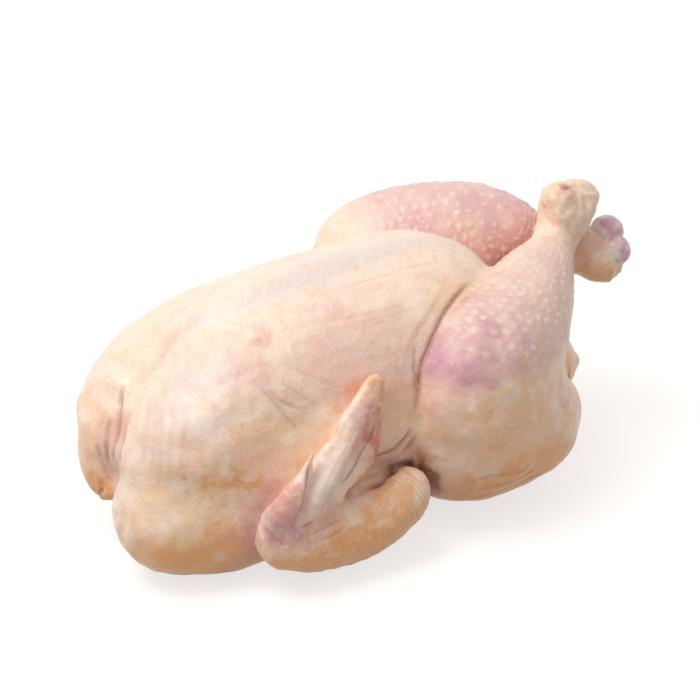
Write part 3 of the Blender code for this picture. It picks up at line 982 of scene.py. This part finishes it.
def skin_material(cream):
    """Raw skin: cream mottled with pink and yellow, thin enough for the flesh to show."""
    s = Shader(bpy.data.materials.new(SKIN_FINISH))
    broad, middling, fine = s.noise(0.05, 4), s.noise(0.009, 5, 0.65), s.noise(0.0016, 3)
    streaks = s.noise(0.004, 3, 0.6, (1.0, 1.0, 0.3))
    colour = s.mix(broad.step(0.42, 0.68) * 0.55, cream, linear(247, 216, 204))
    colour = s.mix(middling.step(0.48, 0.72) * 0.5, colour, linear(246, 204, 158))
    colour = s.mix(streaks.step(0.5, 0.75) * 0.3, colour, linear(226, 178, 152))
    colour = s.mix(middling.step(0.5, 0.3) * 0.35, colour, linear(246, 222, 216))
    # the tints include shade painted into creases, hollows and low places
    for name, tint in TINT_COLOURS.items():
        colour = s.mix(s.attribute(name), colour, linear(*tint))
    grain = s.cells(0.0023)
    colour = s.mix(grain.step(0.3, 0.05) * 0.35, colour, linear(252, 236, 212))
    colour = s.mix(fine.step(0.5, 0.75) * 0.18, colour, linear(206, 150, 120))
    height = fine * 0.5 + grain.step(0.5, 0.0) * 0.2 + middling * 1.0 + streaks * 0.7
    bump = s.node("ShaderNodeBump", None, {"Strength": 0.45, "Distance": 0.0009, "Height": height})
    return s.finish(Base_Color=colour, Normal=bump.outputs[0], Roughness=0.34 + 0.22 * middling,
                    Subsurface_Weight=0.3, Subsurface_Radius=(1.0, 0.4, 0.22),
                    Subsurface_Scale=0.002, Coat_Weight=0.25, Coat_Roughness=0.25, IOR=1.42)


# ---------------------------------------------------------------------------
# The add-on
# ---------------------------------------------------------------------------
class ChickenSkin(bpy.types.PropertyGroup):
    """Sizes and colours of the skin."""
    leg_cell: bpy.props.FloatProperty(
        name="Leg cell", description="Size of the legs' mesh cells, in draft units", default=0.85)
    wing_cell: bpy.props.FloatProperty(
        name="Wing cell", description="Size of the wings' mesh cells, in draft units", default=0.62)
    cream: bpy.props.FloatVectorProperty(
        name="Skin colour", description="Colour of plain skin", subtype="COLOR", size=4,
        default=linear(250, 227, 206), min=0, max=1)
    gristle: bpy.props.FloatVectorProperty(
        name="Gristle colour", description="Colour of the bare gristle", subtype="COLOR", size=4,
        default=linear(212, 170, 182), min=0, max=1)


SKINS = {}    # the skins made so far, by piece, for stubs and hairs to stand on

# piece, how many, centre and radii of the place where feather stubs stand
STUB_PLACES = [
    ("trunk_skin", 34, (-80, -62, 46), (34, 24, 26)), ("trunk_skin", 14, (-50, -68, 68), (16, 14, 10)),
    ("trunk_skin", 14, (-104, 6, 56), (14, 20, 24)), ("trunk_skin", 16, (-80, 62, 46), (34, 24, 30)),
    ("near_leg_skin", 12, (72, -90, 58), (20, 20, 22)), ("near_leg_skin", 10, (102, -86, 60), (20, 20, 24)),
    ("near_wing_skin", 14, (-20, -92, 34), (34, 16, 20)), ("far_leg_skin", 10, (96, 86, 60), (30, 20, 24)),
    ("far_wing_skin", 14, (-10, 92, 34), (40, 16, 20)),
]
HAIR_PLACES = [
    ("near_leg_skin", 7, (118, -22, 122), (16, 14, 12)), ("far_leg_skin", 6, (140, 14, 118), (16, 14, 16)),
    ("near_leg_skin", 4, (152, -20, 120), (12, 10, 12)), ("trunk_skin", 5, (168, -4, 50), (16, 24, 16)),
    ("near_wing_skin", 6, (-24, -92, 46), (16, 8, 8)),
]
STUB_LEAN = np.array([0.7, -0.1, 0.2])      # the way that feathers lie


def feet_in(skin, count, centre, radii, rng):
    """Points of the skin inside an ellipsoid, picked by chance, and their normals."""
    inside = np.linalg.norm((skin.points - np.array(centre)) / np.array(radii), axis=1) < 1
    chosen = rng.choice(np.flatnonzero(inside), count, replace=False)
    return skin.points[chosen], skin.normals[chosen]


def grown(places, upright, spread, lengths, radii, around, rings, rng):
    """Pegs at each place, with leans, lengths and radii picked by chance; upright is how much they
    follow the skin's normal, and spread how much they stray from the way that feathers lie."""
    meshes = []
    for name, count, centre, reach in places:
        feet, normals = feet_in(SKINS[name], count, centre, reach, rng)
        lean = unit_rows(normals * upright + STUB_LEAN + spread * rng.normal(size=normals.shape))
        meshes += pegs(feet, normals, lean, rng.uniform(*lengths, count),
                       rng.uniform(*radii, count), around, rings)
    return meshes


def gristle_material(pink):
    """Wet gristle: bluish pink with paler clouds."""
    s = Shader(bpy.data.materials.new("wet_gristle"))
    clouds, fine = s.noise(0.006, 3), s.noise(0.0015, 2)
    colour = s.mix(clouds.step(0.4, 0.65), pink, linear(240, 222, 226))
    colour = s.mix(fine.step(0.55, 0.75) * 0.4, colour, linear(196, 140, 150))
    bump = s.node("ShaderNodeBump", None, {"Strength": 0.25, "Distance": 0.0004, "Height": fine})
    return s.finish(Base_Color=colour, Normal=bump.outputs[0], Roughness=0.28 + 0.15 * clouds,
                    Subsurface_Weight=0.4, Subsurface_Radius=(1.0, 0.5, 0.4),
                    Subsurface_Scale=0.003, Coat_Weight=0.4, Coat_Roughness=0.15, IOR=1.42)


def quill_material(name, colour):
    """Horn of a stub or hair, darker in places."""
    s = Shader(bpy.data.materials.new(name))
    streaks = s.noise(0.002, 2)
    shade = s.mix(streaks.step(0.45, 0.7) * 0.5, linear(*colour), linear(226, 188, 132))
    return s.finish(Base_Color=shade, Roughness=0.35 + 0.2 * streaks, Coat_Weight=0.2)


def room_round(cell, *tables):
    """A room with a margin round every section of the stations' tables."""
    rows = np.vstack([np.asarray(table, float) for table in tables])
    reach = rows[:, 3:].max(1, keepdims=True)
    margin = 3.0
    return Room((rows[:, :3] - reach).min(0) - margin, (rows[:, :3] + reach).max(0) + margin, cell)


def raw_skin():
    """The skin's material, made once."""
    found = bpy.data.materials.get(SKIN_FINISH)
    return found or skin_material(bpy.context.scene.chicken_skin.cream)


def add_skin(name, skin, material):
    """Settle a skin's relief, keep it for the stubs and add it as a piece."""
    skin.settle()
    SKINS[name] = skin
    return add_piece(name, [(skin.points, skin.quads, skin.tints)], material)


class CHICKEN_OT_trunk(bpy.types.Operator):
    """Add the skin of breast, back, neck and tail"""
    bl_idname = "chicken.trunk"
    bl_label = "Add trunk"

    def execute(self, context):
        skin = Skin(*trunk_piece())
        work_skin(skin, TRUNK_PATCHES + LEG_PATCHES)
        work_trunk(skin)
        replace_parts(add_skin("trunk_skin", skin, raw_skin()), NODE)
        return {"FINISHED"}


class CHICKEN_OT_legs(bpy.types.Operator):
    """Add both legs, from thigh to hock"""
    bl_idname = "chicken.legs"
    bl_label = "Add legs"

    def execute(self, context):
        settings = context.scene.chicken_skin
        for name, near, tables in (("near_leg_skin", True, (THIGH, NEAR_DRUMSTICK, NEAR_HOCK)),
                                   ("far_leg_skin", False, (mirrored(THIGH), FAR_DRUMSTICK, FAR_HOCK))):
            room = room_round(settings.leg_cell, *tables)
            leg = room.borrow(whole_room(), shared("leg", near))
            skin = Skin(*limb_piece(room, leg, leg_fillet(room)))
            work_skin(skin, TRUNK_PATCHES + LEG_PATCHES)
            work_leg(skin, near)
            add_skin(name, skin, raw_skin())
        return {"FINISHED"}


class CHICKEN_OT_wings(bpy.types.Operator):
    """Add both folded wings"""
    bl_idname = "chicken.wings"
    bl_label = "Add wings"

    def execute(self, context):
        settings = context.scene.chicken_skin
        for name, near in (("near_wing_skin", True), ("far_wing_skin", False)):
            tables = [on_side(table, near) for table in (UPPER_ARM, FOREARM, HAND, HAND_BONE, THUMB)]
            room = room_round(settings.wing_cell, *tables)
            arm = room.borrow(whole_room(), shared("arm", near))
            wing = soft_union(arm, hand_distance(room, near), WRIST_FILLET)
            skin = Skin(*limb_piece(room, wing, WING_FILLET))
            work_skin(skin, across(WING_PATCHES))
            work_wing(skin, near)
            add_skin(name, skin, raw_skin())
        return {"FINISHED"}


class CHICKEN_OT_gristle(bpy.types.Operator):
    """Add the bare gristle at the end of the far hock"""
    bl_idname = "chicken.gristle"
    bl_label = "Add gristle"

    def execute(self, context):
        lobes = np.array([(*centre, *radii) for centre, radii in FAR_GRISTLE], float)
        margin, cell = 2, 0.5
        room = Room((lobes[:, :3] - lobes[:, 3:]).min(0) - margin,
                    (lobes[:, :3] + lobes[:, 3:]).max(0) + margin, cell)
        balls = [room.ball(*lobe) for lobe in FAR_GRISTLE]
        skin = Skin(*room.surface(soft_union(*balls, 1.2)))
        skin.rise += 0.25 * noise(skin.points, 4, 61, 2)
        add_skin("far_hock_gristle", skin, gristle_material(context.scene.chicken_skin.gristle))
        return {"FINISHED"}


class CHICKEN_OT_stubs(bpy.types.Operator):
    """Add feather stubs and hairs that plucking left"""
    bl_idname = "chicken.stubs"
    bl_label = "Add feather stubs"

    def execute(self, context):
        if "trunk_skin" not in SKINS or "near_leg_skin" not in SKINS:
            raise RuntimeError("the stubs need the trunk and the legs")
        rng = np.random.default_rng(4)
        stubs = grown(STUB_PLACES, 0.3, 0.3, (0.5, 1.1), (0.35, 0.6), 6, 5, rng)
        hairs = grown(HAIR_PLACES, 0.2, 0.5, (4, 8), (0.1, 0.14), 4, 7, rng)
        add_piece("feather_stubs", stubs, quill_material("quill", (252, 236, 204)))
        add_piece("hairs", hairs, quill_material("hair", (236, 214, 178)))
        return {"FINISHED"}


class CHICKEN_OT_stage(bpy.types.Operator):
    """Add the floor, the background, the lamp and the camera"""
    bl_idname = "chicken.stage"
    bl_label = "Add stage"

    def execute(self, context):
        add_floor()
        add_background()
        add_lamp("key_lamp", location=(-0.4, 0.1, 0.95), size=0.6, power=6.5)
        add_camera(azimuth=-28, elevation=28, distance=1088 * UNIT, target=(38, 0, 80), lens=105.5)
        context.scene.view_settings.view_transform = "Standard"
        return {"FINISHED"}


def add_floor():
    """A disc that glows so that the camera sees it white, but for the bird's shadow."""
    bpy.ops.mesh.primitive_circle_add(vertices=96, radius=4.0, fill_type="NGON")
    floor = bpy.context.object
    floor.name = "floor"
    s = Shader(bpy.data.materials.new("floor_white"))
    plain = s.node("ShaderNodeBsdfDiffuse", None, {"Color": (0.46, 0.42, 0.39, 1)})
    glow = s.node("ShaderNodeEmission", None, {"Color": (1, 1, 1, 1), "Strength": 0.7})
    both = s.node("ShaderNodeAddShader", None, {0: plain.outputs[0], 1: glow.outputs[0]})
    mixed = s.node("ShaderNodeMixShader", None,
                   {"Fac": s.seen(), 1: plain.outputs[0], 2: both.outputs[0]})
    s.node("ShaderNodeOutputMaterial", None, {"Surface": mixed.outputs[0]})
    floor.data.materials.append(s.owner)


def add_background():
    """A world that is white to the camera, and a soft pale light to the bird."""
    s = Shader(bpy.data.worlds.new("studio"))
    bpy.context.scene.world = s.owner
    light = s.node("ShaderNodeBackground", None, {"Color": (1.0, 0.975, 0.95, 1), "Strength": 0.54})
    white = s.node("ShaderNodeBackground", None, {"Color": (1, 1, 1, 1), "Strength": 1.0})
    both = s.node("ShaderNodeMixShader", None,
                  {"Fac": s.seen(), 1: light.outputs[0], 2: white.outputs[0]})
    s.node("ShaderNodeOutputWorld", None, {"Surface": both.outputs[0]})


def aimed(location, target):
    """The turn of a lamp or camera at a location that looks at a target."""
    return (Vector(target) - Vector(location)).to_track_quat("-Z", "Y").to_euler()


def add_lamp(name, location, size, power):
    """A square lamp that looks at the middle of the bird."""
    data = bpy.data.lights.new(name, "AREA")
    data.size, data.energy = size, power
    lamp = bpy.data.objects.new(name, data)
    lamp.location = location
    lamp.rotation_euler = aimed(location, (0, 0, 0.05))
    bpy.context.scene.collection.objects.link(lamp)


def add_camera(azimuth, elevation, distance, target, lens):
    """A camera at a distance in metres from a target in draft units, turned from the -Y side and
    up from level."""
    turn, rise = math.radians(azimuth), math.radians(elevation)
    aim = Vector(place(np.array(target, float)))
    back = Vector((math.sin(turn) * math.cos(rise), -math.cos(turn) * math.cos(rise), math.sin(rise)))
    data = bpy.data.cameras.new("camera")
    data.lens = lens
    camera = bpy.data.objects.new("camera", data)
    camera.location = aim + back * distance
    camera.rotation_euler = aimed(camera.location, aim)
    bpy.context.scene.collection.objects.link(camera)
    bpy.context.scene.camera = camera


OPERATORS = (CHICKEN_OT_trunk, CHICKEN_OT_legs, CHICKEN_OT_wings, CHICKEN_OT_gristle,
             CHICKEN_OT_stubs, CHICKEN_OT_stage)


class CHICKEN_PT_panel(bpy.types.Panel):
    """Sizes, colours and steps of the chicken"""
    bl_label = "Whole raw chicken"
    bl_idname = "CHICKEN_PT_panel"
    bl_space_type = "VIEW_3D"
    bl_region_type = "UI"
    bl_category = "Chicken"

    def draw(self, context):
        settings = context.scene.chicken_skin
        for name in settings.__annotations__:
            self.layout.prop(settings, name)
        for operator in OPERATORS:
            self.layout.operator(operator.bl_idname)


CLASSES = (ChickenSkin,) + OPERATORS + (CHICKEN_PT_panel,)


def register():
    for one in CLASSES:
        bpy.utils.register_class(one)
    bpy.types.Scene.chicken_skin = bpy.props.PointerProperty(type=ChickenSkin)


def unregister():
    del bpy.types.Scene.chicken_skin
    for one in reversed(CLASSES):
        bpy.utils.unregister_class(one)


def main():
    """Register the add-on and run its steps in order."""
    register()
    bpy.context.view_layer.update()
    bpy.ops.chicken.stage()
    bpy.ops.chicken.trunk()
    bpy.ops.chicken.legs()
    bpy.ops.chicken.wings()
    bpy.ops.chicken.gristle()
    bpy.ops.chicken.stubs()


if __name__ == "__main__":
    main()
